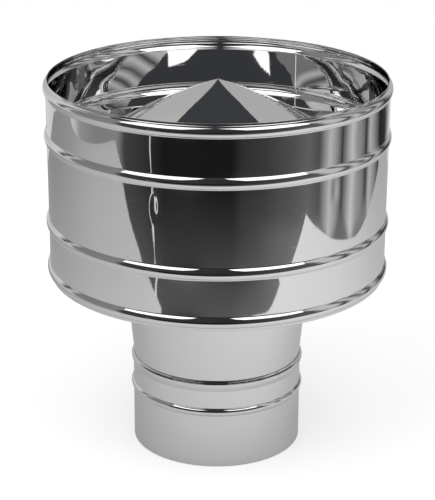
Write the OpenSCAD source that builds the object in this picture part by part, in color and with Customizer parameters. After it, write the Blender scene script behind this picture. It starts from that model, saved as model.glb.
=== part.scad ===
// Chimney cowl: a static draught cowl rolled from thin bright stainless sheet.
// The spigot sits in the flue, the diffuser widens above it, a conical cap keeps the rain out,
// and an open drum round both turns wind from any side into suction.
// Millimetres, +Z up. The origin is the centre of the spigot's lower edge.

/* [Sheet] */
// Thickness of the rolled sheet of the four shells
sheet_t = 0.5; // [0.4:0.1:1]
// Thickness of the flat strip of the struts and brackets
strip_t = 1; // [0.8:0.1:2]
// Gap left between sheets that are riveted or welded together
seat_gap = 0.05; // [0.02:0.01:0.1]
// Width of the overlap where a rolled sheet's two ends are welded
lap_w = 4; // [3:0.5:10]
// Outer radius at the foot of each rolled bead
bead_foot_r = 1; // [0.8:0.1:1.5]

/* [Spigot] */
// Outer diameter of the spigot's straight wall
spigot_d = 151; // [101:1:201]
// Height of the spigot from its lower edge to its collar's upper edge
spigot_h = 82.5; // [75:0.5:120]
// Height of the stop bead's crest above the lower edge
stop_bead_z = 52.5; // [30:0.5:60]
// Width of the stop bead from foot to foot
stop_bead_w = 8; // [6:0.5:10]
// How far the stop bead stands out of the wall
stop_bead_h = 2; // [1:0.1:2.4]
// How far the collar's crest stands out of the wall
collar_h = 1.8; // [1:0.1:1.9]
// Length of the collar's slow flare below its crest
collar_flare = 7; // [5:0.5:10]
// Length of the collar's quick return above its crest
collar_return = 2; // [2:0.1:3]
// Length of the straight lip above the collar
collar_lip = 1; // [0.5:0.1:3]

/* [Diffuser] */
// Length of the diffuser's neck that is pushed into the spigot
neck_depth = 24; // [18:0.5:24]
// Height of the diffuser above the spigot
diffuser_h = 139.5; // [110:0.5:160]
// Angle of the diffuser's wall to the vertical
diffuser_angle = 5.5; // [3:0.1:7]

/* [Drum] */
// Outer diameter of the drum's straight wall
drum_d = 297; // [285:1:360]
// Height of the drum from edge to edge
drum_h = 176; // [160:1:220]
// Height of the drum's lower edge above the spigot's upper edge
drum_lift = 78; // [60:0.5:90]
// Distance of a rim bead's crest from the drum's edge
rim_bead_inset = 7; // [7:0.5:12]
// Distance of a middle bead's crest from the drum's edge
mid_bead_inset = 49.5; // [30:0.5:60]
// Width of a drum bead from foot to foot
drum_bead_w = 11; // [9:0.5:12]
// How far a drum bead stands out of the wall
drum_bead_h = 2.3; // [1.5:0.1:2.5]
// How far the drum's two edges are drawn in from the wall
edge_draw_in = 0.9; // [0:0.1:1.2]
// Direction of the drum's welded seam, from +X
drum_seam_az = 61.5; // [0:0.5:360]

/* [Cap] */
// Diameter of the cap
cap_d = 256; // [210:1:270]
// Distance of the cap's tip below the drum's upper edge
cap_drop = 2.4; // [0:0.1:40]
// Slope of the cap's sheet at its tip
cap_tip_slope = 20; // [15:0.5:30]
// Slope of the cap's sheet at its edge
cap_edge_slope = 35; // [30:0.5:45]
// Direction of the cap's welded seam, from +X
cap_seam_az = 180; // [0:0.5:360]
// Distance from the cap's tip at which the overlap of its seam starts
cap_lap_start = 8; // [6:0.5:20]

/* [Struts and brackets] */
// Width of the strip of the struts and brackets
strip_w = 20; // [14:0.5:24]
// Radius of the bends in the strips, at mid thickness
strip_bend_r = 3; // [1.5:0.1:4]
// Size of the clipped corners at both ends of a strip
strip_corner = 3; // [1:0.5:6]
// Direction of the first strut, from +X; the rest follow at equal angles
strut_az = 250; // [0:1:360]
// Length of a strut's foot on the diffuser
strut_foot = 22; // [20:0.5:30]
// Distance of a strut's foot below the diffuser's upper edge
strut_foot_drop = 6; // [4:0.5:20]
// Direction of the first cap bracket, from +X; the rest follow at equal angles
bracket_az = 310; // [0:1:360]
// Length of the pad by which a strut or bracket is welded to the drum
weld_pad = 20; // [14:0.5:24]
// Distance of the weld pads' upper ends below the drum's upper edge
weld_pad_drop = 62; // [57:0.5:70]
// Length of a bracket's arm on the cap's underside, measured across
bracket_arm = 21; // [20:0.5:30]
// Distance of a bracket's arm from the cap's edge, measured across
bracket_arm_inset = 4; // [3:0.5:10]
// Slope of a bracket between its arm and its knee, steeper than the cap's edge
bracket_knee_slope = 48; // [46:1:60]

/* [Rivets] */
// Diameter of a rivet's shank
rivet_d = 4; // [3.2:0.1:4.8]
// Diameter of a rivet's head
rivet_head_d = 8; // [6.5:0.1:9.5]
// Height of a rivet's head
rivet_head_h = 1.3; // [1:0.1:1.6]
// Diameter of the blind end once it is set
rivet_bulge_d = 5.6; // [5:0.1:7]
// Length of the blind end once it is set
rivet_bulge_l = 3; // [2.5:0.1:4]
// Diameter of the hole that the mandrel leaves in a rivet's head
rivet_mandrel_d = 2; // [1.6:0.1:2.4]
// Height of the edge of a rivet's head, and the bevel of its blind end
rivet_edge_h = 0.3; // [0.2:0.05:0.4]
// Distance between the two rivets of a strut or bracket
rivet_pitch = 10; // [9:0.5:12]

/* [Hidden] */
$fn = 96;

bright_steel = [0.80, 0.80, 0.80];
dull_steel = [0.66, 0.66, 0.67];
rivet_steel = [0.58, 0.58, 0.60];

// Number of straight steps in each arc of a bead, a bend or a rivet's dome
arc_steps = 4;
// Number of rings in the cap's bellied profile
cap_rings = 12;
// Three struts and three brackets share the circle
arm_count = 3;
arm_turn = 360 / arm_count;
// Reach of a cutting slab or drill past the sheets
past = 1;

spigot_r = spigot_d / 2;
neck_r = spigot_r - sheet_t - seat_gap;
diffuser_top_z = spigot_h + diffuser_h;
drum_r = drum_d / 2;
drum_inner_r = drum_r - sheet_t;
drum_edge_r = drum_r - edge_draw_in;
drum_low_z = spigot_h + drum_lift;
drum_top_z = drum_low_z + drum_h;
cap_r = cap_d / 2;
cap_tip_z = drum_top_z - cap_drop;
weld_high_z = drum_top_z - weld_pad_drop;
weld_low_z = weld_high_z - weld_pad;
rivet_hole_d = rivet_d + 2 * seat_gap;
rivet_grip = sheet_t + seat_gap + strip_t;

// Points and paths

function unit(v) = v / norm(v);

// Half of a rolled bead: out of the wall at [r, z] on a foot arc, then over a crest arc.
// depth is how far below the sheet's outer face the line runs.
function half_bead(r, z, half_w, h, depth) =
    let (
        turn = 2 * atan(h / half_w),
        foot = bead_foot_r + depth,
        crest = half_w / sin(turn) - foot
    )
    concat(
        [for (i = [0 : arc_steps]) let (a = turn * i / arc_steps)
            [r - depth + foot * (1 - cos(a)), z + foot * sin(a)]],
        [for (i = [arc_steps - 1 : -1 : 0]) let (a = turn * i / arc_steps)
            [r - depth + h - crest * (1 - cos(a)), z + half_w - crest * sin(a)]]
    );

// A whole bead with its crest at height z, between walls of radius low_r and high_r
function bead(z, low_r, high_r, crest_r, low_w, high_w, depth) =
    let (
        low = half_bead(low_r, z - low_w, low_w, crest_r - low_r, depth),
        high = half_bead(high_r, z - high_w, high_w, crest_r - high_r, depth)
    )
    concat(low, [for (i = [len(high) - 2 : -1 : 0]) [high[i][0], 2 * z - high[i][1]]]);

function reversed(p) = [for (i = [len(p) - 1 : -1 : 0]) p[i]];

// Round the corner at b of the path a, b, c
function bend(a, b, c, r) =
    let (
        u = unit(a - b),
        v = unit(c - b),
        half = acos(u * v) / 2,
        reach = r / tan(half),
        centre = b + unit(u + v) * r / sin(half)
    )
    [for (i = [0 : arc_steps])
        centre + r * unit((b + u * reach - centre) * (1 - i / arc_steps)
                          + (b + v * reach - centre) * i / arc_steps)];

function bent(p) = concat(
    [p[0]],
    [for (i = [1 : len(p) - 2]) each bend(p[i - 1], p[i], p[i + 1], strip_bend_r)],
    [p[len(p) - 1]]
);

function left_of(a, b) = let (d = unit(b - a)) [-d[1], d[0]];

// The path p moved sideways by h, with mitred corners
function beside(p, h) = [
    for (i = [0 : len(p) - 1])
        let (
            before = left_of(p[max(i - 1, 0)], p[max(i, 1)]),
            after = left_of(p[min(i, len(p) - 2)], p[min(i + 1, len(p) - 1)]),
            both = before + after
        )
        p[i] + h * 2 * both / (both * both)
];

function diffuser_r(z) = neck_r + max(0, z - spigot_h) * tan(diffuser_angle);

// The cap's profile is a cone that steepens evenly from its tip to its edge
function cap_slope(r) =
    atan(tan(cap_tip_slope) + (tan(cap_edge_slope) - tan(cap_tip_slope)) * r / cap_r);
function cap_z(r) =
    cap_tip_z - r * tan(cap_tip_slope)
    - (tan(cap_edge_slope) - tan(cap_tip_slope)) * r * r / (2 * cap_r);
function cap_side(from_r, depth) = [
    for (i = [0 : cap_rings]) let (r = from_r + (cap_r - from_r) * i / cap_rings)
        [r, cap_z(r) - depth / cos(cap_slope(r))]
];

// Sections, revolved about Z

module sheet_section(outer, inner) {
    polygon(concat(outer, reversed(inner)));
}

function spigot_side(depth) = concat(
    [[spigot_r - depth, 0]],
    bead(stop_bead_z, spigot_r, spigot_r, spigot_r + stop_bead_h,
         stop_bead_w / 2, stop_bead_w / 2, depth),
    bead(spigot_h - collar_lip - collar_return, spigot_r, spigot_r, spigot_r + collar_h,
         collar_flare, collar_return, depth),
    [[spigot_r - depth, spigot_h]]
);

function diffuser_side(depth) =
    let (flat = depth / cos(diffuser_angle))
    [
        [neck_r - depth, spigot_h - neck_depth],
        [neck_r - depth, spigot_h],
        [diffuser_r(diffuser_top_z) - flat, diffuser_top_z]
    ];

// Each entry is a bead's crest height and the wall radius below and above it
drum_beads = [
    [drum_low_z + rim_bead_inset, drum_edge_r, drum_r],
    [drum_low_z + mid_bead_inset, drum_r, drum_r],
    [drum_top_z - mid_bead_inset, drum_r, drum_r],
    [drum_top_z - rim_bead_inset, drum_r, drum_edge_r]
];

function drum_side(depth) = concat(
    [[drum_edge_r - depth, drum_low_z]],
    [for (b = drum_beads)
        each bead(b[0], b[1], b[2], drum_r + drum_bead_h, drum_bead_w / 2, drum_bead_w / 2, depth)],
    [[drum_edge_r - depth, drum_top_z]]
);

// Struts and brackets: the middle line of each strip, in the plane of radius and height

strip_seat = seat_gap + strip_t / 2;
weld_r = drum_inner_r - strip_seat;

function strut_path() =
    let (
        high = diffuser_top_z - strut_foot_drop,
        low = high - strut_foot,
        out = strip_seat / cos(diffuser_angle)
    )
    bent([
        [diffuser_r(low) + out, low],
        [diffuser_r(high) + out, high],
        [weld_r, weld_low_z],
        [weld_r, weld_high_z]
    ]);

arm_outer_r = cap_r - bracket_arm_inset;
arm_inner_r = arm_outer_r - bracket_arm;

// Height at radius r of the middle line of a strip under the cap
function arm_z(r) = cap_z(r) - (sheet_t + strip_seat) / cos(cap_slope(r));

// A strip is flat under the bellied cap, so between its ends it stands this far off its seat
function arm_slack(r) =
    let (
        along = (r - arm_inner_r) / bracket_arm,
        flat_z = arm_z(arm_inner_r) * (1 - along) + arm_z(arm_outer_r) * along
    )
    (arm_z(r) - flat_z) * cos(cap_slope(r));

// A bracket runs out and down past the cap's edge to its knee, and from there to the drum
function bracket_path() =
    let (
        edge_clearance = strip_seat + 2 * strip_bend_r,
        knee_z = min(cap_z(cap_r) - edge_clearance, weld_low_z),
        knee_run = (arm_z(arm_outer_r) - knee_z) / tan(bracket_knee_slope)
    )
    bent([
        [arm_inner_r, arm_z(arm_inner_r)],
        [arm_outer_r, arm_z(arm_outer_r)],
        [arm_outer_r + knee_run, knee_z],
        [weld_r, weld_low_z],
        [weld_r, weld_high_z]
    ]);

// What is clipped off the two corners at the end a of a strip that runs on to b
module clipped_corners(a, b) {
    along = b - a;
    side_y = strip_w / 2;
    translate([a[0], 0, a[1]])
        rotate([0, -atan2(along[1], along[0]), 0])
            for (side = [0, 1])
                mirror([0, side, 0])
                    linear_extrude(4 * strip_t, center = true)
                        polygon([
                            [-past, side_y - strip_corner - past],
                            [strip_corner + past, side_y + past],
                            [-past, side_y + past]
                        ]);
}

// A strip that follows the round shells: its section revolved a little way, then cut to width
module strip(path) {
    spread = 2 * asin(strip_w / path[0][0]);
    low_z = min([for (p = path) p[1]]) - strip_t;
    high_z = max([for (p = path) p[1]]) + strip_t;
    last = len(path) - 1;
    difference() {
        intersection() {
            rotate([0, 0, -spread / 2])
                rotate_extrude(angle = spread)
                    sheet_section(beside(path, strip_t / 2), beside(path, -strip_t / 2));
            translate([0, -strip_w / 2, low_z])
                cube([drum_r, strip_w, high_z - low_z]);
        }
        clipped_corners(path[0], path[1]);
        clipped_corners(path[last], path[last - 1]);
    }
}

// Rivets: a place on a shell's outer face, with +Z along the outward normal

strut_rivet_mid_z = diffuser_top_z - strut_foot_drop - strut_foot / 2;

// side is -1 for the lower rivet and +1 for the upper one
module at_strut_rivet(side) {
    z = strut_rivet_mid_z + side * rivet_pitch / 2;
    translate([diffuser_r(z), 0, z])
        rotate([0, 90 + diffuser_angle, 0])
            children();
}

// side is -1 for the inner rivet and +1 for the outer one
function cap_rivet_r(side) = (arm_inner_r + arm_outer_r + side * rivet_pitch) / 2;

module at_cap_rivet(side) {
    r = cap_rivet_r(side);
    translate([r, 0, cap_z(r)])
        rotate([0, cap_slope(r), 0])
            children();
}

module rivet_drill() {
    cylinder(d = rivet_hole_d, h = 2 * (rivet_grip + past), center = true);
}

// A set blind rivet. Its head sits at z = 0 and its shank runs down through grip of sheets.
module rivet(grip) {
    head_r = rivet_head_d / 2;
    shank_r = rivet_d / 2;
    mandrel_r = rivet_mandrel_d / 2;
    crown_r = mandrel_r + rivet_edge_h;
    rise = rivet_head_h - rivet_edge_h;
    under = -grip - 2 * seat_gap;
    tail = under - rivet_bulge_l;
    tip = tail - rivet_edge_h;
    rotate_extrude()
        polygon(concat(
            [[0, rivet_edge_h], [mandrel_r, rivet_edge_h], [mandrel_r, rivet_head_h]],
            [for (i = [0 : arc_steps]) let (a = 90 * i / arc_steps)
                [crown_r + (head_r - crown_r) * sin(a), rivet_edge_h + rise * cos(a)]],
            [[head_r, seat_gap], [shank_r, seat_gap], [shank_r, under]],
            [for (i = [1 : arc_steps * 2 - 1]) let (a = 180 * i / (arc_steps * 2))
                [shank_r + (rivet_bulge_d / 2 - shank_r) * sin(a),
                 under - rivet_bulge_l * (1 - cos(a)) / 2]],
            [[shank_r, tail], [shank_r - rivet_edge_h, tip], [0, tip]]
        ));
}

// Shells

module drum() {
    lap_turn = lap_w / drum_inner_r * 180 / PI;
    color(bright_steel)
        union() {
            rotate_extrude()
                sheet_section(drum_side(0), drum_side(sheet_t));
            rotate([0, 0, drum_seam_az - lap_turn / 2])
                rotate_extrude(angle = lap_turn)
                    sheet_section(drum_side(sheet_t / 2), drum_side(2 * sheet_t));
        }
}

module cap() {
    color(bright_steel)
        difference() {
            union() {
                rotate_extrude()
                    sheet_section(cap_side(0, 0), cap_side(0, sheet_t));
                rotate([0, 0, cap_seam_az])
                    intersection() {
                        rotate([0, 0, -90])
                            rotate_extrude(angle = 180)
                                sheet_section(cap_side(cap_lap_start, -sheet_t),
                                              cap_side(cap_lap_start, sheet_t / 2));
                        translate([0, -lap_w, cap_z(cap_r) - past])
                            cube([cap_r + past, lap_w, cap_tip_z - cap_z(cap_r) + 2 * past]);
                    }
            }
            for (turn = [0 : arm_count - 1], side = [-1, 1])
                rotate([0, 0, bracket_az + turn * arm_turn])
                    at_cap_rivet(side)
                        rivet_drill();
        }
}

module diffuser() {
    color(bright_steel)
        difference() {
            rotate_extrude()
                sheet_section(diffuser_side(0), diffuser_side(sheet_t));
            for (turn = [0 : arm_count - 1], side = [-1, 1])
                rotate([0, 0, strut_az + turn * arm_turn])
                    at_strut_rivet(side)
                        rivet_drill();
        }
}

module spigot() {
    color(bright_steel)
        rotate_extrude()
            sheet_section(spigot_side(0), spigot_side(sheet_t));
}

// Strips and their rivets, by place: turn counts thirds of a circle from the first one

module strut(turn) {
    color(dull_steel)
        rotate([0, 0, strut_az + turn * arm_turn])
            difference() {
                strip(strut_path());
                for (side = [-1, 1]) at_strut_rivet(side) rivet_drill();
            }
}

module bracket(turn) {
    color(dull_steel)
        rotate([0, 0, bracket_az + turn * arm_turn])
            difference() {
                strip(bracket_path());
                for (side = [-1, 1]) at_cap_rivet(side) rivet_drill();
            }
}

module strut_rivet(turn, side) {
    color(rivet_steel)
        rotate([0, 0, strut_az + turn * arm_turn])
            at_strut_rivet(side)
                translate([0, 0, seat_gap + strip_t])
                    rivet(rivet_grip);
}

module cap_rivet(turn, side) {
    color(rivet_steel)
        rotate([0, 0, bracket_az + turn * arm_turn])
            at_cap_rivet(side)
                rivet(rivet_grip + arm_slack(cap_rivet_r(side)));
}

drum();
cap();
diffuser();
spigot();
strut(0);  // strut_front
strut(1);  // strut_right
strut(2);  // strut_back
bracket(0);  // bracket_front
bracket(1);  // bracket_back
bracket(2);  // bracket_left
strut_rivet(0, -1);  // strut_rivet_front_low
strut_rivet(0, 1);  // strut_rivet_front_high
strut_rivet(1, -1);  // strut_rivet_right_low
strut_rivet(1, 1);  // strut_rivet_right_high
strut_rivet(2, -1);  // strut_rivet_back_low
strut_rivet(2, 1);  // strut_rivet_back_high
cap_rivet(0, -1);  // cap_rivet_front_inner
cap_rivet(0, 1);  // cap_rivet_front_outer
cap_rivet(1, -1);  // cap_rivet_back_inner
cap_rivet(1, 1);  // cap_rivet_back_outer
cap_rivet(2, -1);  // cap_rivet_left_inner
cap_rivet(2, 1);  // cap_rivet_left_outer
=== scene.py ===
"""Looks of a chimney cowl in mirror-polished steel sheet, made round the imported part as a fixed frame."""

import math

import bpy
import numpy as np
from bpy.props import FloatProperty, FloatVectorProperty, IntProperty, PointerProperty
from mathutils import Matrix, Vector


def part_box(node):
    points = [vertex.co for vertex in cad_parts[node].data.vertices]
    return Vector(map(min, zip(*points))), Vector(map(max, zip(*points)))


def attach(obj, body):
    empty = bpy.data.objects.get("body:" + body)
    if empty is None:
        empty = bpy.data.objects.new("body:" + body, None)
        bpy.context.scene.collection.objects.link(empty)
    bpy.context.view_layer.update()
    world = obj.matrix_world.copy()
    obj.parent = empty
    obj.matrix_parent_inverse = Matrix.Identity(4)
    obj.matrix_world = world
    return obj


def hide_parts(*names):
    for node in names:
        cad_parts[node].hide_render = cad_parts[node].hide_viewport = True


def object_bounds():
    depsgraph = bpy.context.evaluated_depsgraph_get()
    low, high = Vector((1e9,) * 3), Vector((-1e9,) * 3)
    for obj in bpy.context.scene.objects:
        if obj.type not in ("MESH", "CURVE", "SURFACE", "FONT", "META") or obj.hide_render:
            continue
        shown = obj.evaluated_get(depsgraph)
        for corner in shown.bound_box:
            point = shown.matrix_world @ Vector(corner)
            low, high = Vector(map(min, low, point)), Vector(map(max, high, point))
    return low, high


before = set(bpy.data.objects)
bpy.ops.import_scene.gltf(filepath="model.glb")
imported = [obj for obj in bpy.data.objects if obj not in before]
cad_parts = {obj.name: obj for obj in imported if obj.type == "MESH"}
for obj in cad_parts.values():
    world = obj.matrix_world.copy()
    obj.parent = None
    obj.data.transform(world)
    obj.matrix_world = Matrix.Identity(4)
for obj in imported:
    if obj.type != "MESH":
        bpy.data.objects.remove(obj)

bl_info = {
    "name": "Chimney cowl",
    "version": (1, 0, 0),
    "blender": (4, 5, 0),
    "location": "View3D > Sidebar > Cowl",
    "description": "Makes the polished shells, the strips and the studio of a static chimney cowl",
    "category": "Object",
}

BODY = "root"
CAD_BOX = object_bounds()
DRUM_LOW, DRUM_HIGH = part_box("drum")
CAP_LOW, CAP_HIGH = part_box("cap")
DIFFUSER_LOW, DIFFUSER_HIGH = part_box("diffuser")
SPIGOT_LOW, SPIGOT_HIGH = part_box("spigot")
STRIPS = [f"{kind}_{place}" for kind, places in (("strut", ("front", "right", "back")),
                                                 ("bracket", ("front", "back", "left")))
          for place in places]
RIVETS = [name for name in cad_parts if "_rivet_" in name]

# Azimuths are measured from the front, -Y, and grow towards the right, +X.


def round_outer(low, high):
    """Radius of the largest circle round the axis that stays inside a round node's box."""
    return min(high.x, high.y, -low.x, -low.y)


# Sizes and colours that a user would change


class SheetSizes(bpy.types.PropertyGroup):
    """The sheet that all four shells are rolled from."""
    thickness: FloatProperty(
        name="Thickness", description="Thickness of the rolled sheet",
        default=0.0005, unit="LENGTH", precision=5)
    edge_break: FloatProperty(
        name="Edge break", description="Rounding of the sheet's cut edges",
        default=0.00012, unit="LENGTH", precision=5)
    lap: FloatProperty(
        name="Seam overlap", description="Width of the overlap at a welded seam",
        default=0.004, unit="LENGTH")
    bead_foot: FloatProperty(
        name="Bead foot", description="Outer radius at the foot of a rolled bead",
        default=0.001, unit="LENGTH")
    columns: IntProperty(
        name="Columns", description="Even divisions of a shell round its axis", default=336)


class DrumSizes(bpy.types.PropertyGroup):
    """The open drum with its four beads."""
    bead_width: FloatProperty(
        name="Bead width", description="Width of a bead from foot to foot",
        default=0.011, unit="LENGTH")
    bead_height: FloatProperty(
        name="Bead height", description="How far a bead stands out of the wall",
        default=0.0023, unit="LENGTH")
    rim_inset: FloatProperty(
        name="Rim bead", description="Distance of a rim bead's crest from the drum's edge",
        default=0.007, unit="LENGTH")
    middle_inset: FloatProperty(
        name="Middle bead", description="Distance of a middle bead's crest from the drum's edge",
        default=0.0495, unit="LENGTH")
    draw_in: FloatProperty(
        name="Edge draw-in", description="How far both edges are drawn in from the wall",
        default=0.0009, unit="LENGTH")
    seam: FloatProperty(
        name="Seam", description="Azimuth of the welded seam from the front",
        default=math.radians(151.5), subtype="ANGLE")
    seam_kink: FloatProperty(
        name="Seam kink", description="Angle at which the two rolled ends meet under the seam",
        default=math.radians(3.0), subtype="ANGLE")
    dent_depth: FloatProperty(
        name="Weld dent", description="Depth of the dent that a spot weld leaves",
        default=0.00022, unit="LENGTH", precision=5)
    dent_radius: FloatProperty(
        name="Weld dent radius", description="Radius of the dent that a spot weld leaves",
        default=0.0034, unit="LENGTH")


class CapSizes(bpy.types.PropertyGroup):
    """The bellied conical cap."""
    tip_slope: FloatProperty(
        name="Tip slope", description="Slope of the sheet at the tip",
        default=math.radians(20.0), subtype="ANGLE")
    edge_slope: FloatProperty(
        name="Edge slope", description="Slope of the sheet at the edge",
        default=math.radians(35.0), subtype="ANGLE")
    seam: FloatProperty(
        name="Seam", description="Azimuth of the welded seam from the front",
        default=math.radians(-90.0), subtype="ANGLE")
    lap_start: FloatProperty(
        name="Overlap start", description="Distance from the tip at which the overlap starts",
        default=0.008, unit="LENGTH")


class PipeSizes(bpy.types.PropertyGroup):
    """The spigot and the widening diffuser pushed into it."""
    stop_z: FloatProperty(
        name="Stop bead", description="Height of the stop bead's crest",
        default=0.0525, unit="LENGTH")
    stop_width: FloatProperty(
        name="Stop bead width", description="Width of the stop bead from foot to foot",
        default=0.008, unit="LENGTH")
    stop_height: FloatProperty(
        name="Stop bead height", description="How far the stop bead stands out of the wall",
        default=0.002, unit="LENGTH")
    collar_height: FloatProperty(
        name="Collar height", description="How far the collar's crest stands out of the wall",
        default=0.0018, unit="LENGTH")
    collar_flare: FloatProperty(
        name="Collar flare", description="Length of the collar's slow flare below its crest",
        default=0.007, unit="LENGTH")
    collar_return: FloatProperty(
        name="Collar return", description="Length of the collar's quick return above its crest",
        default=0.002, unit="LENGTH")
    collar_lip: FloatProperty(
        name="Collar lip", description="Length of the straight lip above the collar",
        default=0.001, unit="LENGTH")
    taper: FloatProperty(
        name="Taper", description="Angle of the diffuser's wall to the vertical",
        default=math.radians(5.5), subtype="ANGLE")


class FinishColours(bpy.types.PropertyGroup):
    """The finishes of the sheet, the strips and the rivets."""
    polished: FloatVectorProperty(
        name="Polished sheet", description="Colour of the mirror-polished sheet",
        default=(0.80, 0.80, 0.795), subtype="COLOR", size=3)
    strip: FloatVectorProperty(
        name="Strip", description="Colour of the plain rolled strip",
        default=(0.62, 0.62, 0.61), subtype="COLOR", size=3)
    rivet: FloatVectorProperty(
        name="Rivet", description="Colour of the satin rivets",
        default=(0.60, 0.60, 0.61), subtype="COLOR", size=3)
    straw: FloatVectorProperty(
        name="Heat tint", description="Colour that the heat of a weld leaves on the steel",
        default=(0.66, 0.55, 0.38), subtype="COLOR", size=3)
    polish: FloatProperty(
        name="Polish", description="Roughness of clean polished sheet",
        default=0.03, min=0.0, max=1.0)


class StudioSizes(bpy.types.PropertyGroup):
    """The camera, the table and what the polished steel mirrors."""
    lens: FloatProperty(
        name="Lens", description="Focal length of the camera in millimetres", default=127.08)
    distance: FloatProperty(
        name="Distance", description="Distance of the camera from the point it looks at",
        default=1.5746, unit="LENGTH")
    elevation: FloatProperty(
        name="Elevation", description="Angle of the camera above the table",
        default=math.radians(20.3), subtype="ANGLE")
    aim_height: FloatProperty(
        name="Aim height", description="Height of the point on the axis that the camera looks at",
        default=0.1767, unit="LENGTH")
    roll: FloatProperty(
        name="Roll", description="Roll of the camera",
        default=math.radians(0.269), subtype="ANGLE")
    shift: FloatProperty(
        name="Shift", description="Sideways shift of the picture, as a share of its height",
        default=0.0005, precision=4)
    table_left: FloatProperty(
        name="Table left", description="Left edge of the white table",
        default=-1.12, unit="LENGTH")
    table_right: FloatProperty(
        name="Table right", description="Right edge of the white table",
        default=0.72, unit="LENGTH")
    table_front: FloatProperty(
        name="Table front", description="Front edge of the white table",
        default=-0.50, unit="LENGTH")
    table_back: FloatProperty(
        name="Table back", description="Back edge of the white table",
        default=0.80, unit="LENGTH")
    room_radius: FloatProperty(
        name="Room radius", description="Radius of the studio wall that the steel mirrors",
        default=1.2, unit="LENGTH")
    room_low: FloatProperty(
        name="Room floor", description="Height of the studio wall's lower edge",
        default=-0.6, unit="LENGTH")
    room_high: FloatProperty(
        name="Room ceiling", description="Height of the dark ceiling",
        default=1.8, unit="LENGTH")
    plain_light: FloatProperty(
        name="Plain light", description="Brightness of the even light from all round",
        default=0.55)
    softbox_light: FloatProperty(
        name="Softbox light", description="Brightness of a softbox as the steel mirrors it",
        default=1.6)


SETTINGS = {
    "cowl_sheet": SheetSizes,
    "cowl_drum": DrumSizes,
    "cowl_cap": CapSizes,
    "cowl_pipe": PipeSizes,
    "cowl_finish": FinishColours,
    "cowl_studio": StudioSizes,
}


# Sections of the rolled sheet: lists of (radius, height), from the lower edge up


def half_bead(wall, low, half_width, rise, depth, foot_radius):
    """Half of a rolled bead: out of the wall on a foot arc, then over a crest arc."""
    foot_steps, crest_steps = 3, 5
    turn = 2 * math.atan(rise / half_width)
    foot = foot_radius + depth
    crest = half_width / math.sin(turn) - foot
    points = []
    for i in range(foot_steps + 1):
        a = turn * i / foot_steps
        points.append((wall - depth + foot * (1 - math.cos(a)), low + foot * math.sin(a)))
    for i in range(crest_steps - 1, -1, -1):
        a = turn * i / crest_steps
        points.append((wall - depth + rise - crest * (1 - math.cos(a)),
                       low + half_width - crest * math.sin(a)))
    return points


def bead(z, walls, crest, widths, depth, foot_radius):
    """A whole bead with its crest at height z, between a lower and an upper wall."""
    lower = half_bead(walls[0], z - widths[0], widths[0], crest - walls[0], depth, foot_radius)
    upper = half_bead(walls[1], z - widths[1], widths[1], crest - walls[1], depth, foot_radius)
    return lower + [(r, 2 * z - h) for r, h in reversed(upper[:-1])]


def drum_line(settings, depth):
    """The drum's section, depth below its outer face."""
    sheet, drum = settings.cowl_sheet, settings.cowl_drum
    crest = round_outer(DRUM_LOW, DRUM_HIGH)
    wall = crest - drum.bead_height
    edge = wall - drum.draw_in
    half = drum.bead_width / 2
    low, high = DRUM_LOW.z, DRUM_HIGH.z
    beads = [
        (low + drum.rim_inset, (edge, wall)),
        (low + drum.middle_inset, (wall, wall)),
        (high - drum.middle_inset, (wall, wall)),
        (high - drum.rim_inset, (wall, edge)),
    ]
    points = [(edge - depth, low)]
    for z, walls in beads:
        points += bead(z, walls, crest, (half, half), depth, sheet.bead_foot)
    return points + [(edge - depth, high)]


def spigot_line(settings, depth):
    """The spigot's section, with its stop bead and its collar."""
    sheet, pipe = settings.cowl_sheet, settings.cowl_pipe
    wall = round_outer(SPIGOT_LOW, SPIGOT_HIGH) - pipe.stop_height
    collar_z = SPIGOT_HIGH.z - pipe.collar_lip - pipe.collar_return
    half = pipe.stop_width / 2
    return ([(wall - depth, SPIGOT_LOW.z)]
            + bead(pipe.stop_z, (wall, wall), wall + pipe.stop_height, (half, half), depth,
                   sheet.bead_foot)
            + bead(collar_z, (wall, wall), wall + pipe.collar_height,
                   (pipe.collar_flare, pipe.collar_return), depth, sheet.bead_foot)
            + [(wall - depth, SPIGOT_HIGH.z)])


def diffuser_line(settings, depth):
    """The diffuser's section: a straight neck, then an even taper."""
    pipe = settings.cowl_pipe
    top = round_outer(DIFFUSER_LOW, DIFFUSER_HIGH)
    slope = math.tan(pipe.taper)
    neck = top - (DIFFUSER_HIGH.z - SPIGOT_HIGH.z) * slope
    flat = depth / math.cos(pipe.taper)
    return [(neck - depth, DIFFUSER_LOW.z), (neck - depth, SPIGOT_HIGH.z),
            (top - flat, DIFFUSER_HIGH.z)]


def cap_height(settings, r):
    """Height of the cap's outer face at radius r: a cone that steepens evenly to its edge."""
    cap = settings.cowl_cap
    tip, edge = math.tan(cap.tip_slope), math.tan(cap.edge_slope)
    return CAP_HIGH.z - r * tip - (edge - tip) * r * r / (2 * round_outer(CAP_LOW, CAP_HIGH))


def cap_line(settings, depth):
    """The cap's section from its edge up to its tip."""
    cap = settings.cowl_cap
    rings = 60
    edge_r = round_outer(CAP_LOW, CAP_HIGH)
    tip, edge = math.tan(cap.tip_slope), math.tan(cap.edge_slope)
    points = []
    for i in range(rings + 1):
        r = max(edge_r * (1 - i / rings), edge_r / 4000)
        slope = math.atan(tip + (edge - tip) * r / edge_r)
        points.append((r, cap_height(settings, r) - depth / math.cos(slope)))
    return points


def stations(line, longest, support):
    """Where a section is divided: (segment, share) pairs, with a close pair beside each long wall's ends."""
    places = []
    for i in range(len(line) - 1):
        length = math.dist(line[i], line[i + 1])
        places.append((i, 0.0))
        if length > longest:
            near = support / length
            count = max(1, round((length - 2 * support) / longest))
            places += [(i, near + (1 - 2 * near) * k / count) for k in range(count + 1)]
    return places + [(len(line) - 2, 1.0)]


def divided(line, places):
    """The points of a section at the given stations, as an array."""
    return np.array([[line[i][k] * (1 - t) + line[i + 1][k] * t for k in (0, 1)] for i, t in places])


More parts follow.
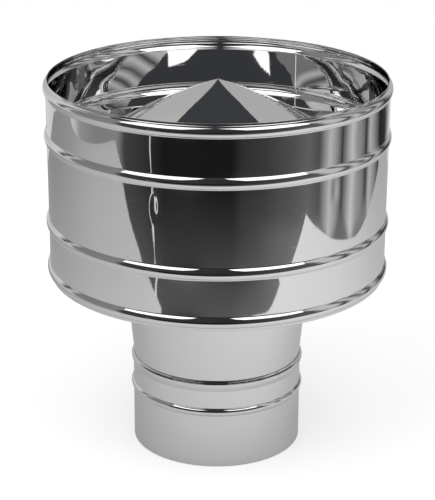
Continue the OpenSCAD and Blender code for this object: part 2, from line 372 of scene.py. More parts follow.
# Shells


def wave_sum(azimuth, terms, seed):
    """Smooth unevenness round a shell: one cosine for each (cycles, size) pair, with seeded phases."""
    phases = np.random.default_rng(seed).uniform(0, 2 * math.pi, len(terms))
    return sum(size * np.cos(cycles * azimuth + phase) for (cycles, size), phase in zip(terms, phases))


def column_azimuths(count, seam, extra):
    """Even azimuths from the seam all the way round it, with extra ones put in."""
    even = seam + np.arange(count) * 2 * math.pi / count
    more = seam + (np.array(extra) - seam) % (2 * math.pi) if len(extra) else np.array([])
    azimuths = np.unique(np.concatenate([even, more]))
    keep = np.concatenate([[True], np.diff(azimuths) > 1e-6])
    return azimuths[keep]


def shell_mesh(name, outer, inner, azimuths, edge_break, shift):
    """Revolves a closed sheet section.

    outer and inner are functions of the azimuths that give arrays of radius and height, by ring and
    column. shift(azimuths, heights) moves the sheet outwards.
    """
    outer_rz, inner_rz = outer(azimuths), inner(azimuths)
    rings = np.concatenate([round_edges(outer_rz, inner_rz, edge_break),
                            round_edges(inner_rz[::-1], outer_rz[::-1], edge_break)])
    radius = rings[..., 0] + shift(azimuths[None, :], rings[..., 1])
    height = rings[..., 1]
    points = np.stack([radius * np.sin(azimuths), -radius * np.cos(azimuths), height], axis=-1)
    return grid_mesh(name, points, azimuths)


def round_edges(face, other, size):
    """Draws the first and last rings of a face in, towards the other face, to break the cut edges."""
    rings = face.copy()
    for end, inward in ((0, 1), (-1, -2)):
        along = face[inward] - face[end]
        along /= np.linalg.norm(along, axis=-1, keepdims=True)
        across = other[end] - face[end]
        across /= np.linalg.norm(across, axis=-1, keepdims=True)
        corner = face[end]
        rings[end] = corner + across * size
        extra = corner + along * size
        rings = np.concatenate([rings[:1], extra[None], rings[1:]] if end == 0
                               else [rings[:-1], extra[None], rings[-1:]])
    return rings


def grid_mesh(name, points, azimuths):
    """A mesh of a closed grid, rings by columns, with a UV map in metres along and across the sheet."""
    rings, columns = points.shape[:2]
    index = np.arange(rings * columns).reshape(rings, columns)
    right = np.roll(index, -1, axis=1)
    up = np.roll(index, -1, axis=0)
    up_right = np.roll(right, -1, axis=0)
    faces = np.stack([index, right, up_right, up], axis=-1).reshape(-1, 4)
    mesh = bpy.data.meshes.new(name)
    mesh.from_pydata(points.reshape(-1, 3).tolist(), [], faces.tolist())
    steps = np.linalg.norm(np.diff(points[:, :1], axis=0, append=points[:1, :1]), axis=-1)[:, 0]
    v = np.concatenate([[0], np.cumsum(steps)])
    mean_radius = float(np.abs(points[..., :2]).max())
    u = np.append(azimuths, azimuths[0] + 2 * math.pi) * mean_radius
    i, j = np.divmod(np.arange(rings * columns), columns)
    uv = np.stack([np.stack([u[j + a], v[i + b]], axis=-1) for a, b in ((0, 0), (1, 0), (1, 1), (0, 1))],
                  axis=1)
    layer = mesh.uv_layers.new(name="sheet")
    layer.data.foreach_set("uv", uv.reshape(-1).astype(np.float32))
    return mesh


def add_mask(mesh, name, values):
    """Keeps a value from 0 to 1 at each point, for the materials to read."""
    layer = mesh.attributes.new(name, "FLOAT", "POINT")
    layer.data.foreach_set("value", np.clip(values, 0, 1).astype(np.float32))


def mesh_points(mesh):
    """The mesh's points as an array."""
    flat = np.empty(len(mesh.vertices) * 3, np.float32)
    mesh.vertices.foreach_get("co", flat)
    return flat.reshape(-1, 3).astype(float)


def finish_piece(mesh, material, node):
    """Makes the piece of a mesh, smooth between its hard edges, and lets it stand for its CAD node."""
    hard_edge = math.radians(50)
    mesh.polygons.foreach_set("use_smooth", [True] * len(mesh.polygons))
    mesh.set_sharp_from_angle(angle=hard_edge)
    mesh.validate()
    mesh.materials.append(material)
    piece = bpy.data.objects.new(mesh.name, mesh)
    bpy.context.scene.collection.objects.link(piece)
    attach(piece, BODY)
    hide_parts(node)
    return piece


def azimuth_of(points):
    """Azimuth from the front of each point."""
    return np.arctan2(points[:, 0], -points[:, 1])


def node_azimuth(node):
    """Azimuth from the front of the middle of a CAD node."""
    low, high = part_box(node)
    middle = (low + high) / 2
    return math.atan2(middle.x, -middle.y)


def turn_between(a, b):
    """Signed difference of two azimuths, between half a turn back and half a turn on."""
    return (a - b + math.pi) % (2 * math.pi) - math.pi


def weld_dents(settings):
    """Azimuth and height of each spot weld on the drum, two to a pad."""
    spot_from_pad_end = 0.0055
    pad = 0.020
    places = []
    for name in STRIPS:
        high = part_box(name)[1].z
        for z in (high - spot_from_pad_end, high - pad + spot_from_pad_end):
            places.append((node_azimuth(name), z))
    return places


def seam_columns(azimuth, lap_turn, step):
    """Extra azimuths for the steep sides of an overlap."""
    sides = (-lap_turn / 2, lap_turn / 2)
    return [azimuth + side + offset for side in sides for offset in (-step, 0.0, step)]


# Shared shader groups


def new_group(name, inputs, outputs):
    """A shader node group with named sockets; returns the tree with its two ends."""
    tree = bpy.data.node_groups.new(name, "ShaderNodeTree")
    for kind, label, default in inputs:
        socket = tree.interface.new_socket(label, in_out="INPUT", socket_type=kind)
        if default is not None:
            socket.default_value = default
    for kind, label in outputs:
        tree.interface.new_socket(label, in_out="OUTPUT", socket_type=kind)
    return tree, tree.nodes.new("NodeGroupInput"), tree.nodes.new("NodeGroupOutput")


def math_node(tree, operation, a, b=None, clamp=False):
    """A Math node; a and b are sockets or numbers."""
    node = tree.nodes.new("ShaderNodeMath")
    node.operation = operation
    node.use_clamp = clamp
    for socket, value in zip(node.inputs, (a, b)):
        if value is None:
            continue
        if isinstance(value, (int, float)):
            socket.default_value = value
        else:
            tree.links.new(value, socket)
    return node.outputs[0]


def map_range(tree, value, from_low, from_high, to_low, to_high, kind="SMOOTHSTEP"):
    """A Map Range node from one span to another."""
    node = tree.nodes.new("ShaderNodeMapRange")
    node.interpolation_type = kind
    tree.links.new(value, node.inputs["Value"])
    for label, number in (("From Min", from_low), ("From Max", from_high),
                          ("To Min", to_low), ("To Max", to_high)):
        node.inputs[label].default_value = number
    return node.outputs["Result"]


def stretched_noise(tree, vector, stretch, scale, detail, roughness=0.5):
    """Noise whose features are longer along one way of the sheet than the other."""
    mapping = tree.nodes.new("ShaderNodeMapping")
    mapping.inputs["Scale"].default_value = stretch
    tree.links.new(vector, mapping.inputs["Vector"])
    texture = tree.nodes.new("ShaderNodeTexNoise")
    texture.inputs["Scale"].default_value = scale
    texture.inputs["Detail"].default_value = detail
    texture.inputs["Roughness"].default_value = roughness
    tree.links.new(mapping.outputs["Vector"], texture.inputs["Vector"])
    return texture.outputs["Fac"]


def mixed_colour(tree, factor, a, b):
    """A colour mix; a and b are sockets or colours."""
    node = tree.nodes.new("ShaderNodeMix")
    node.data_type = "RGBA"
    if isinstance(factor, (int, float)):
        node.inputs["Factor"].default_value = factor
    else:
        tree.links.new(factor, node.inputs["Factor"])
    for label, value in (("A", a), ("B", b)):
        socket = next(s for s in node.inputs if s.name == label and s.type == "RGBA")
        if isinstance(value, bpy.types.NodeSocket):
            tree.links.new(value, socket)
        else:
            socket.default_value = (*value, 1.0)
    return next(s for s in node.outputs if s.type == "RGBA")


def rolling_marks_group():
    """Faint lines across the sheet where the rolls bent it, and fine polishing scratches along it."""
    tree, start, end = new_group(
        "Rolling marks",
        [("NodeSocketVector", "Vector", None), ("NodeSocketFloat", "Lines", 1.0),
         ("NodeSocketFloat", "Scratches", 1.0)],
        [("NodeSocketFloat", "Height"), ("NodeSocketFloat", "Scratch mask")])
    vector = start.outputs["Vector"]
    broad = stretched_noise(tree, vector, (1.0, 0.03, 1.0), 160.0, 2.0)
    fine = stretched_noise(tree, vector, (1.0, 0.02, 1.0), 700.0, 2.0)
    lines = math_node(tree, "ADD", math_node(tree, "MULTIPLY", broad, 3.0), fine)
    polishing = stretched_noise(tree, vector, (0.012, 1.0, 1.0), 1500.0, 3.0, 0.7)
    scratch = map_range(tree, polishing, 0.66, 0.72, 0.0, 1.0)
    lined = math_node(tree, "MULTIPLY", lines, start.outputs["Lines"])
    scratched = math_node(tree, "MULTIPLY", scratch, start.outputs["Scratches"])
    tree.links.new(math_node(tree, "SUBTRACT", lined, scratched), end.inputs["Height"])
    tree.links.new(scratched, end.inputs["Scratch mask"])
    return tree


def handling_group():
    """Soft smudges left by handling: a mask from 0, clean, to 1."""
    tree, start, end = new_group(
        "Handling smudges",
        [("NodeSocketVector", "Vector", None), ("NodeSocketFloat", "Amount", 0.5)],
        [("NodeSocketFloat", "Mask")])
    vector = start.outputs["Vector"]
    patches = map_range(tree, stretched_noise(tree, vector, (1.0, 1.0, 1.0), 9.0, 3.0), 0.52, 0.75, 0.0, 1.0)
    specks = map_range(tree, stretched_noise(tree, vector, (1.0, 1.0, 1.0), 420.0, 2.0), 0.45, 0.8, 0.3, 1.0)
    both = math_node(tree, "MULTIPLY", patches, specks)
    tree.links.new(math_node(tree, "MULTIPLY", both, start.outputs["Amount"]), end.inputs["Mask"])
    return tree


def heat_tint_group():
    """Colour of the steel round a weld: the steel's own, then straw, then a grey blue at the middle."""
    tree, start, end = new_group(
        "Heat tint",
        [("NodeSocketColor", "Steel", None), ("NodeSocketColor", "Straw", None),
         ("NodeSocketFloat", "Heat", 0.0)],
        [("NodeSocketColor", "Colour")])
    outer = map_range(tree, start.outputs["Heat"], 0.05, 0.6, 0.0, 0.55)
    inner = map_range(tree, start.outputs["Heat"], 0.7, 1.0, 0.0, 0.6)
    straw = mixed_colour(tree, outer, start.outputs["Steel"], start.outputs["Straw"])
    tree.links.new(mixed_colour(tree, inner, straw, (0.30, 0.32, 0.38)), end.inputs["Colour"])
    return tree


def group_node(tree, name, maker):
    """A group node of the named group, which is made the first time."""
    node = tree.nodes.new("ShaderNodeGroup")
    node.node_tree = bpy.data.node_groups.get(name) or maker()
    return node


def mask_of(tree, name):
    """The value that the mesh keeps under a name."""
    node = tree.nodes.new("ShaderNodeAttribute")
    node.attribute_name = name
    return node.outputs["Fac"]


# Materials


def new_material(name):
    """An empty node material; returns it with its tree and its Principled shader."""
    material = bpy.data.materials.new(name)
    material.use_nodes = True
    tree = material.node_tree
    return material, tree, tree.nodes["Principled BSDF"]


def polished_sheet(settings, name, lines, smudges, masked):
    """Mirror-polished sheet: rolling lines, scratches, smudges, duller cut edges and heat tint."""
    finish = settings.cowl_finish
    material, tree, shader = new_material(name)
    uv = tree.nodes.new("ShaderNodeUVMap")
    uv.uv_map = "sheet"
    marks = group_node(tree, "Rolling marks", rolling_marks_group)
    marks.inputs["Lines"].default_value = lines
    tree.links.new(uv.outputs["UV"], marks.inputs["Vector"])
    handled = group_node(tree, "Handling smudges", handling_group)
    handled.inputs["Amount"].default_value = smudges
    tree.links.new(uv.outputs["UV"], handled.inputs["Vector"])
    tint = group_node(tree, "Heat tint", heat_tint_group)
    tint.inputs["Steel"].default_value = (*finish.polished, 1.0)
    tint.inputs["Straw"].default_value = (*finish.straw, 1.0)
    edge = mask_of(tree, "cut_edge")
    if masked:
        tree.links.new(mask_of(tree, "heat"), tint.inputs["Heat"])
    soiled = math_node(tree, "MULTIPLY", handled.outputs["Mask"], 0.12)
    colour = mixed_colour(tree, soiled, tint.outputs["Colour"], (0.45, 0.44, 0.42))
    tree.links.new(mixed_colour(tree, math_node(tree, "MULTIPLY", edge, 0.35), colour, (0.55, 0.55, 0.55)),
                   shader.inputs["Base Color"])
    shader.inputs["Metallic"].default_value = 1.0
    rough = math_node(tree, "ADD", math_node(tree, "MULTIPLY", handled.outputs["Mask"], 0.07), finish.polish)
    rough = math_node(tree, "ADD", rough, math_node(tree, "MULTIPLY", marks.outputs["Scratch mask"], 0.08))
    rough = math_node(tree, "ADD", rough, math_node(tree, "MULTIPLY", edge, 0.22))
    tree.links.new(rough, shader.inputs["Roughness"])
    bump = tree.nodes.new("ShaderNodeBump")
    bump.inputs["Strength"].default_value = 1.0
    bump.inputs["Distance"].default_value = 2.2e-6
    tree.links.new(marks.outputs["Height"], bump.inputs["Height"])
    tree.links.new(bump.outputs["Normal"], shader.inputs["Normal"])
    return material


def plain_steel(name, colour, grain_ways, roughness):
    """Unpolished rolled or turned steel with a directional grain, worn a little brighter in places."""
    material, tree, shader = new_material(name)
    place = tree.nodes.new("ShaderNodeTexCoord").outputs["Object"]
    grain = stretched_noise(tree, place, grain_ways, 900.0, 3.0, 0.6)
    cloud = stretched_noise(tree, place, (1.0, 1.0, 1.0), 60.0, 3.0)
    handled = group_node(tree, "Handling smudges", handling_group)
    tree.links.new(place, handled.inputs["Vector"])
    dark = tuple(0.72 * c for c in colour)
    tree.links.new(mixed_colour(tree, map_range(tree, cloud, 0.3, 0.7, 0.0, 1.0), dark, colour),
                   shader.inputs["Base Color"])
    shader.inputs["Metallic"].default_value = 1.0
    rough = math_node(tree, "ADD", map_range(tree, grain, 0.3, 0.7, roughness - 0.06, roughness + 0.06),
                      math_node(tree, "MULTIPLY", handled.outputs["Mask"], 0.1))
    tree.links.new(rough, shader.inputs["Roughness"])
    bump = tree.nodes.new("ShaderNodeBump")
    bump.inputs["Strength"].default_value = 1.0
    bump.inputs["Distance"].default_value = 8e-6
    tree.links.new(grain, bump.inputs["Height"])
    tree.links.new(bump.outputs["Normal"], shader.inputs["Normal"])
    return material


# The studio


STAGE_RAYS = ("visible_camera", "visible_diffuse", "visible_transmission", "visible_volume_scatter",
              "visible_shadow")


def stage_object(name, vertices, faces, material, mirrored_only):
    """A stage object. mirrored_only ones are seen by the polished steel and by nothing else."""
    mesh = bpy.data.meshes.new(name)
    mesh.from_pydata([tuple(v) for v in vertices], [], faces)
    mesh.materials.append(material)
    piece = bpy.data.objects.new(name, mesh)
    bpy.context.scene.collection.objects.link(piece)
    if mirrored_only:
        for ray in STAGE_RAYS:
            setattr(piece, ray, False)
    return piece


def on_circle(radius, azimuth, z):
    """A point at an azimuth, in degrees from the front."""
    a = math.radians(azimuth)
    return Vector((radius * math.sin(a), -radius * math.cos(a), z))


def glow_material(name):
    """An emission material for the studio's walls; returns it with its tree and its Emission node."""
    material = bpy.data.materials.new(name)
    material.use_nodes = True
    tree = material.node_tree
    tree.nodes.remove(tree.nodes["Principled BSDF"])
    glow = tree.nodes.new("ShaderNodeEmission")
    tree.links.new(glow.outputs[0], tree.nodes["Material Output"].inputs["Surface"])
    material.cycles.emission_sampling = "NONE"
    return material, tree, glow


def brightness_ramp(tree, factor, stops):
    """Brightness by azimuth in degrees: a ramp through (azimuth, brightness) stops."""
    ramp = tree.nodes.new("ShaderNodeValToRGB")
    tree.links.new(factor, ramp.inputs["Fac"])
    elements = ramp.color_ramp.elements
    while len(elements) < len(stops):
        elements.new(0.5)
    for element, (azimuth, value) in zip(elements, stops):
        element.position = azimuth / 360 + 0.5
        element.color = (value, value, value, 1.0)
    return ramp.outputs["Color"]


# What the polished wall mirrors at table height, by azimuth from the front in degrees
LOW_LIGHT = [
    (-180, 0.02), (-163, 0.03), (-158, 0.70), (-104, 0.60), (-97, 0.32), (-80, 0.24), (-64, 0.26),
    (-59, 0.06), (-45, 0.035), (-33, 0.012), (8, 0.011), (15, 0.035), (30, 0.05), (45, 0.09),
    (58, 0.14), (66, 0.09), (75, 0.55), (80, 0.30), (85, 0.03), (90, 0.34), (95, 0.62), (100, 0.34),
    (106, 0.20), (110, 0.02), (115, 0.50), (122, 0.28), (130, 0.02), (140, 0.04), (148, 0.35),
    (158, 0.75), (168, 0.03), (180, 0.02),
]
# The studio floor beyond the table, seen below those lights
FLOOR_LIGHT = [
    (-180, 0.02), (-160, 0.5), (-64, 0.26), (-59, 0.06), (-33, 0.012), (8, 0.011), (25, 0.05),
    (45, 0.14), (65, 0.20), (82, 0.12), (100, 0.17), (118, 0.25), (140, 0.28), (158, 0.5), (180, 0.02),
]
# The walls above head height
HIGH_LIGHT = [
    (-180, 0.45), (-150, 0.50), (-120, 0.70), (-112, 0.05), (-106, 0.60), (-100, 0.22), (-66, 0.25),
    (-60, 0.05), (15, 0.03), (62, 0.10), (68, 0.60), (80, 0.60), (86, 0.05), (92, 0.65), (100, 0.10),
    (106, 0.60), (112, 0.04), (118, 0.55), (128, 0.05), (140, 0.50), (180, 0.45),
]


def room_wall(studio):
    """The round studio wall with its light and dark parts."""
    material, tree, glow = glow_material("studio_wall")
    place = tree.nodes.new("ShaderNodeTexCoord").outputs["Object"]
    split = tree.nodes.new("ShaderNodeSeparateXYZ")
    tree.links.new(place, split.inputs[0])
    x, y, z = split.outputs
    angle = math_node(tree, "ARCTAN2", x, math_node(tree, "MULTIPLY", y, -1.0))
    share = math_node(tree, "ADD", math_node(tree, "MULTIPLY", angle, 1 / (2 * math.pi)), 0.5)
    low = brightness_ramp(tree, share, LOW_LIGHT)
    floor = brightness_ramp(tree, share, FLOOR_LIGHT)
    high = brightness_ramp(tree, share, HIGH_LIGHT)
    apron = map_range(tree, z, -0.34, -0.03, 0.11, 0.0)
    reach = math_node(tree, "ADD", z, math_node(tree, "MULTIPLY", low, 0.10))
    lit = mixed_colour(tree, map_range(tree, reach, -0.14, -0.10, 0.0, 1.0), floor, low)
    lower = tree.nodes.new("ShaderNodeVectorMath")
    tree.links.new(lit, lower.inputs[0])
    tree.links.new(apron, lower.inputs[1])
    tree.links.new(mixed_colour(tree, map_range(tree, z, 0.12, 0.30, 0.0, 1.0), lower.outputs[0], high),
                   glow.inputs["Color"])
    segments = 96
    low_ring = [on_circle(studio.room_radius, i * 360 / segments, studio.room_low) for i in range(segments)]
    high_ring = [on_circle(studio.room_radius, i * 360 / segments, studio.room_high) for i in range(segments)]
    faces = [(i, (i + 1) % segments, segments + (i + 1) % segments, segments + i) for i in range(segments)]
    return stage_object("studio_wall", low_ring + high_ring, faces, material, True)


def room_plane(name, studio, z, colour):
    """The dark floor or ceiling of the studio."""
    material, _, glow = glow_material(name)
    glow.inputs["Color"].default_value = (*colour, 1.0)
    r = studio.room_radius * 1.5
    corners = [(-r, -r, z), (r, -r, z), (r, r, z), (-r, r, z)]
    return stage_object(name, corners, [(0, 1, 2, 3)], material, True)


def lamp_stand(studio):
    """A thin bright lamp stand at the left, which draws the wavy line on the drum."""
    material, _, glow = glow_material("lamp_stand")
    glow.inputs["Color"].default_value = (0.75, 0.75, 0.74, 1.0)
    radius = studio.room_radius * 0.98
    half = 0.35
    foot, head = (-36.0, -0.34), (-43.0, 0.10)
    corners = [on_circle(radius, azimuth + side * half, z)
               for azimuth, z, side in ((*foot, -1), (*foot, 1), (*head, 1), (*head, -1))]
    return stage_object("lamp_stand", corners, [(0, 1, 2, 3)], material, True)


def white_table(studio):
    """The white table. The camera sees it as plain white with the object's shadow; its diffuse colour, which
    the steel mirrors, carries painted shade, darker towards the left and towards the back.
    """
    material, tree, shader = new_material("white_table")
    tree.nodes.remove(shader)
    place = tree.nodes.new("ShaderNodeTexCoord").outputs["Object"]
    split = tree.nodes.new("ShaderNodeSeparateXYZ")
    tree.links.new(place, split.inputs[0])
    x, y, _ = split.outputs
    # Painted shade: the table's colour darkens towards the left and towards the back, in place of light that
    # falls unevenly on it, as the steel mirrors it.
    across = map_range(tree, x, -0.75, 0.45, 0.60, 0.92)
    painted_shade_to_back = map_range(tree, y, -0.20, 0.75, 1.0, 0.72)
    white = math_node(tree, "MULTIPLY", across, painted_shade_to_back)
    diffuse = tree.nodes.new("ShaderNodeBsdfDiffuse")
    tree.links.new(white, diffuse.inputs["Color"])
    glow = tree.nodes.new("ShaderNodeEmission")
    seen = tree.nodes.new("ShaderNodeLightPath").outputs["Is Camera Ray"]
    lift = math_node(tree, "SUBTRACT", 1.26, white)
    tree.links.new(math_node(tree, "MULTIPLY", lift, seen), glow.inputs["Strength"])
    both = tree.nodes.new("ShaderNodeAddShader")
    tree.links.new(diffuse.outputs[0], both.inputs[0])
    tree.links.new(glow.outputs[0], both.inputs[1])
    tree.links.new(both.outputs[0], tree.nodes["Material Output"].inputs["Surface"])
    material.cycles.emission_sampling = "NONE"
    z = CAD_BOX[0].z - 0.0002
    left, right = studio.table_left, studio.table_right
    front, back = studio.table_front, studio.table_back
    corners = [(left, front, z), (right, front, z), (right, back, z), (left, back, z)]
    return stage_object("white_table", corners, [(0, 1, 2, 3)], material, False)


def softbox(studio, name, azimuth, elevation, distance, width, height):
    """A large soft lamp that faces the object."""
    lamp = bpy.data.lights.new(name, "AREA")
    lamp.shape = "RECTANGLE"
    lamp.size = width
    lamp.size_y = height
    lamp.energy = studio.softbox_light * math.pi * width * height
    rig = bpy.data.objects.new(name, lamp)
    aim = Vector((0, 0, CAD_BOX[1].z * 0.8))
    level = distance * math.cos(math.radians(elevation))
    rig.location = on_circle(level, azimuth, aim.z + distance * math.sin(math.radians(elevation)))
    rig.rotation_euler = (aim - rig.location).to_track_quat("-Z", "Y").to_euler()
    rig.visible_camera = False
    bpy.context.scene.collection.objects.link(rig)
    return rig


def studio_world(studio):
    """White for the camera and for mirrored and clear rays, a plain even light for all else."""
    world = bpy.data.worlds.new("studio")
    bpy.context.scene.world = world
    world.use_nodes = True
    tree = world.node_tree
    plain = tree.nodes["Background"]
    plain.inputs["Color"].default_value = (1.0, 1.0, 1.0, 1.0)
    plain.inputs["Strength"].default_value = studio.plain_light
    white = tree.nodes.new("ShaderNodeBackground")
    white.inputs["Color"].default_value = (1.0, 1.0, 1.0, 1.0)
    path = tree.nodes.new("ShaderNodeLightPath")
    seen = math_node(tree, "MAXIMUM", path.outputs["Is Camera Ray"], path.outputs["Is Glossy Ray"])
    seen = math_node(tree, "MAXIMUM", seen, path.outputs["Is Transmission Ray"])
    mix = tree.nodes.new("ShaderNodeMixShader")
    tree.links.new(seen, mix.inputs["Fac"])
    tree.links.new(plain.outputs[0], mix.inputs[1])
    tree.links.new(white.outputs[0], mix.inputs[2])
    tree.links.new(mix.outputs[0], tree.nodes["World Output"].inputs["Surface"])


def studio_camera(studio):
    """The camera at the photograph's viewing angle."""
    camera = bpy.data.cameras.new("camera")
    camera.lens = studio.lens
    camera.shift_x = studio.shift
    camera.clip_start = 0.05
    rig = bpy.data.objects.new("camera", camera)
    aim = Vector((0, 0, studio.aim_height))
    ahead = Vector((0, math.cos(studio.elevation), -math.sin(studio.elevation)))
    level = Vector((1, 0, 0))
    above = level.cross(ahead)
    side = level * math.cos(studio.roll) + above * math.sin(studio.roll)
    top = side.cross(ahead)
    rig.matrix_world = Matrix.Translation(aim - ahead * studio.distance) @ Matrix(
        (side, top, -ahead)).transposed().to_4x4()
    bpy.context.scene.collection.objects.link(rig)
    bpy.context.scene.camera = rig


# Operators, one for each piece or group of like pieces and one for the stage


class COWL_OT_stage(bpy.types.Operator):
    """Sets up the camera, the world, the white table, the lamps and the studio that the steel mirrors"""
    bl_idname = "cowl.stage"
    bl_label = "Lay the stage"

    def execute(self, context):
        studio = context.scene.cowl_studio
        context.scene.view_settings.view_transform = "Standard"
        studio_world(studio)
        studio_camera(studio)
        white_table(studio)
        room_wall(studio)
        room_plane("studio_ceiling", studio, studio.room_high, (0.050, 0.052, 0.058))
        room_plane("studio_floor", studio, studio.room_low, (0.06, 0.06, 0.06))
        lamp_stand(studio)
        softbox(studio, "softbox_left", -45.0, 45.0, 1.3, 0.9, 1.1)
        softbox(studio, "softbox_right", 40.0, 45.0, 1.3, 0.9, 1.1)
        return {"FINISHED"}


class COWL_OT_drum(bpy.types.Operator):
    """Makes the open drum with its beads, its welded overlap and the dents of its spot welds"""
    bl_idname = "cowl.drum"
    bl_label = "Make the drum"

    def execute(self, context):
        scene = context.scene
        sheet, drum = scene.cowl_sheet, scene.cowl_drum
        wall = round_outer(DRUM_LOW, DRUM_HIGH) - drum.bead_height
        lap_turn = sheet.lap / wall
        dents = weld_dents(scene)
        fine = np.arange(-8, 9, 2) * 0.001 / wall
        extra = seam_columns(drum.seam, lap_turn, 0.00002 / wall)
        extra += [azimuth + step for azimuth, _ in dents for step in fine]
        azimuths = column_azimuths(sheet.columns, drum.seam + math.pi, extra)
        line = drum_line(scene, 0.0)
        places = stations(line, 0.0045, 0.0004)
        in_lap = np.abs(turn_between(azimuths, drum.seam)) < lap_turn / 2 + 1e-7

        def outer(azimuths):
            rz = divided(line, places)
            return np.repeat(rz[:, None], len(azimuths), axis=1)

        def inner(azimuths):
            single = divided(drum_line(scene, sheet.thickness), places)
            double = divided(drum_line(scene, 2 * sheet.thickness), places)
            return np.where(in_lap[None, :, None], double[:, None], single[:, None])

        middle_low = DRUM_LOW.z + drum.middle_inset
        middle_high = DRUM_HIGH.z - drum.middle_inset
        half = drum.bead_width / 2
        spans = [(DRUM_LOW.z + drum.rim_inset + half, middle_low - half),
                 (middle_low + half, middle_high - half),
                 (middle_high + half, DRUM_HIGH.z - drum.rim_inset - half)]

        def shift(azimuth, z):
            waves = wave_sum(azimuth, [(5, 9e-5), (9, 8e-5), (14, 6e-5), (23, 3.5e-5), (37, 1.6e-5),
                                       (61, 0.7e-5)], 7)
            free = np.zeros_like(z)
            for low, high in spans:
                share = np.clip((z - low) / (high - low), 0, 1)
                free += np.sin(math.pi * share) ** 0.7
            off_seam = np.abs(turn_between(azimuth, drum.seam)) * wall
            kink = math.tan(drum.seam_kink / 2) * 0.012 * np.exp(-off_seam / 0.012)
            total = free * waves + kink * (0.3 + 0.7 * free)
            for dent_azimuth, dent_z in dents:
                across = turn_between(azimuth, dent_azimuth) * wall
                far = (across ** 2 + (z - dent_z) ** 2) / drum.dent_radius ** 2
                total = total - drum.dent_depth * np.exp(-far)
            return total

        mesh = shell_mesh("drum_shell", outer, inner, azimuths, sheet.edge_break, shift)
        points = mesh_points(mesh)
        azimuth, z = azimuth_of(points), points[:, 2]
        heat = np.exp(-(np.abs(turn_between(azimuth, drum.seam)) * wall / 0.0035) ** 2) * 0.8
        for dent_azimuth, dent_z in dents:
            across = turn_between(azimuth, dent_azimuth) * wall
            heat = np.maximum(heat, np.exp(-(across ** 2 + (z - dent_z) ** 2) / 0.0022 ** 2))
        inside = np.hypot(points[:, 0], points[:, 1]) < wall - 0.3 * sheet.thickness
        add_mask(mesh, "heat", heat * np.where(inside, 1.0, 0.25))
        edge = np.minimum(z - DRUM_LOW.z, DRUM_HIGH.z - z)
        add_mask(mesh, "cut_edge", 1 - edge / 0.0006)
        finish_piece(mesh, polished_sheet(scene, "drum_polish", 1.0, 0.5, True), "drum")
        return {"FINISHED"}


class COWL_OT_cap(bpy.types.Operator):
    """Makes the bellied cone of the rain cap, with the heat tint of its welded seam"""
    bl_idname = "cowl.cap"
    bl_label = "Make the cap"

    def execute(self, context):
        scene = context.scene
        sheet, cap = scene.cowl_sheet, scene.cowl_cap
        edge_r = round_outer(CAP_LOW, CAP_HIGH)
        azimuths = column_azimuths(sheet.columns, cap.seam, [])
        line = cap_line(scene, 0.0)
        below = cap_line(scene, sheet.thickness)

        def outer(azimuths):
            return np.repeat(np.array(line)[:, None], len(azimuths), axis=1)

        def inner(azimuths):
            return np.repeat(np.array(below)[:, None], len(azimuths), axis=1)

        def shift(azimuth, z):
            return np.zeros_like(azimuth * z)

        mesh = shell_mesh("cap_shell", outer, inner, azimuths, sheet.edge_break, shift)
        points = mesh_points(mesh)
        azimuth, r = azimuth_of(points), np.hypot(points[:, 0], points[:, 1])
        waves = wave_sum(azimuth, [(3, 2.5e-4), (7, 1.2e-4), (12, 6e-5), (19, 3e-5), (31, 1.2e-5)], 11)
        points[:, 2] += waves * np.clip(r / edge_r, 0, 1) ** 1.5 * np.clip((edge_r - r) / 0.004, 0, 1)
        mesh.vertices.foreach_set("co", points.astype(np.float32).reshape(-1))
        off_seam = turn_between(azimuth, cap.seam) * r
        add_mask(mesh, "heat", np.exp(-((off_seam + sheet.lap / 2) / 0.005) ** 2) * 0.6)
        add_mask(mesh, "cut_edge", 1 - (edge_r - r) / 0.0006)
        finish_piece(mesh, polished_sheet(scene, "cap_polish", 1.2, 0.5, True), "cap")
        return {"FINISHED"}


class COWL_OT_diffuser(bpy.types.Operator):
    """Makes the widening pipe above the spigot"""
    bl_idname = "cowl.diffuser"
    bl_label = "Make the diffuser"

    def execute(self, context):
        scene = context.scene
        sheet = scene.cowl_sheet
        azimuths = column_azimuths(256, math.pi, [])
        line = diffuser_line(scene, 0.0)
        places = stations(line, 0.004, 0.0004)

        def side(depth):
            return lambda azimuths: np.repeat(
                divided(diffuser_line(scene, depth), places)[:, None], len(azimuths), axis=1)

        def shift(azimuth, z):
            waves = wave_sum(azimuth, [(4, 5e-5), (7, 4e-5), (13, 2e-5), (22, 1e-5)], 5)
            free = np.clip((z - SPIGOT_HIGH.z) / 0.02, 0, 1) * np.clip((DIFFUSER_HIGH.z - z) / 0.003, 0, 1)
            return waves * free

        mesh = shell_mesh("diffuser_shell", side(0.0), side(sheet.thickness), azimuths,
                          sheet.edge_break, shift)
        points = mesh_points(mesh)
        edge = np.minimum(points[:, 2] - DIFFUSER_LOW.z, DIFFUSER_HIGH.z - points[:, 2])
        add_mask(mesh, "cut_edge", 1 - edge / 0.0006)
        finish_piece(mesh, polished_sheet(scene, "diffuser_polish", 0.8, 0.4, False), "diffuser")
        return {"FINISHED"}


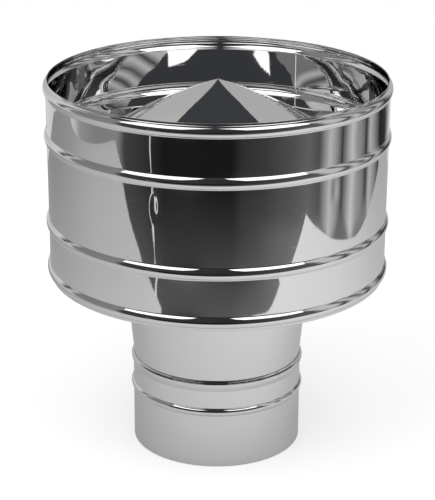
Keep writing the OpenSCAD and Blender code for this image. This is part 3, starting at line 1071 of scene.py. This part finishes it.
class COWL_OT_spigot(bpy.types.Operator):
    """Makes the spigot with its stop bead and its collar"""
    bl_idname = "cowl.spigot"
    bl_label = "Make the spigot"

    def execute(self, context):
        scene = context.scene
        sheet = scene.cowl_sheet
        azimuths = column_azimuths(256, math.pi, [])
        line = spigot_line(scene, 0.0)
        places = stations(line, 0.004, 0.0003)

        def side(depth):
            return lambda azimuths: np.repeat(
                divided(spigot_line(scene, depth), places)[:, None], len(azimuths), axis=1)

        def shift(azimuth, z):
            waves = wave_sum(azimuth, [(4, 4e-5), (9, 3e-5), (15, 1.5e-5), (26, 0.8e-5)], 3)
            below = scene.cowl_pipe.stop_z - scene.cowl_pipe.stop_width / 2
            free = np.clip(z / 0.004, 0, 1) * np.clip((below - z) / 0.012, 0, 1)
            return waves * free

        mesh = shell_mesh("spigot_shell", side(0.0), side(sheet.thickness), azimuths,
                          sheet.edge_break, shift)
        points = mesh_points(mesh)
        edge = np.minimum(points[:, 2] - SPIGOT_LOW.z, SPIGOT_HIGH.z - points[:, 2])
        add_mask(mesh, "cut_edge", 1 - edge / 0.0006)
        finish_piece(mesh, polished_sheet(scene, "spigot_polish", 0.8, 0.4, False), "spigot")
        return {"FINISHED"}


class COWL_OT_strips(bpy.types.Operator):
    """Gives the struts and the cap's brackets their plain rolled finish"""
    bl_idname = "cowl.strips"
    bl_label = "Finish the strips"

    def execute(self, context):
        material = plain_steel("strip_finish", tuple(context.scene.cowl_finish.strip), (1.0, 1.0, 0.05), 0.3)
        for name in STRIPS:
            give_material(name, material)
        return {"FINISHED"}


class COWL_OT_rivets(bpy.types.Operator):
    """Gives the blind rivets their satin finish"""
    bl_idname = "cowl.rivets"
    bl_label = "Finish the rivets"

    def execute(self, context):
        material = plain_steel("rivet_finish", tuple(context.scene.cowl_finish.rivet), (1.0, 1.0, 1.0), 0.35)
        for name in RIVETS:
            give_material(name, material)
        return {"FINISHED"}


def give_material(node, material):
    """Puts a material on a CAD node, whose shape stays as it is."""
    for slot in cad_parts[node].material_slots:
        slot.material = material


class COWL_PT_panel(bpy.types.Panel):
    """Lists the cowl's pieces and its stage"""
    bl_idname = "COWL_PT_panel"
    bl_label = "Chimney cowl"
    bl_space_type = "VIEW_3D"
    bl_region_type = "UI"
    bl_category = "Cowl"

    def draw(self, context):
        for name in STEPS:
            self.layout.operator(f"cowl.{name}")
        for name, group in SETTINGS.items():
            box = self.layout.box()
            for prop in group.__annotations__:
                box.prop(getattr(context.scene, name), prop)


STEPS = ["stage", "drum", "cap", "diffuser", "spigot", "strips", "rivets"]
CLASSES = [*SETTINGS.values(), COWL_OT_stage, COWL_OT_drum, COWL_OT_cap, COWL_OT_diffuser,
           COWL_OT_spigot, COWL_OT_strips, COWL_OT_rivets, COWL_PT_panel]


def register():
    for cls in CLASSES:
        bpy.utils.register_class(cls)
    for name, group in SETTINGS.items():
        setattr(bpy.types.Scene, name, PointerProperty(type=group))


def unregister():
    for name in SETTINGS:
        delattr(bpy.types.Scene, name)
    for cls in reversed(CLASSES):
        bpy.utils.unregister_class(cls)


def main():
    register()
    for name in STEPS:
        getattr(bpy.ops.cowl, name)()


if __name__ == "__main__":
    main()
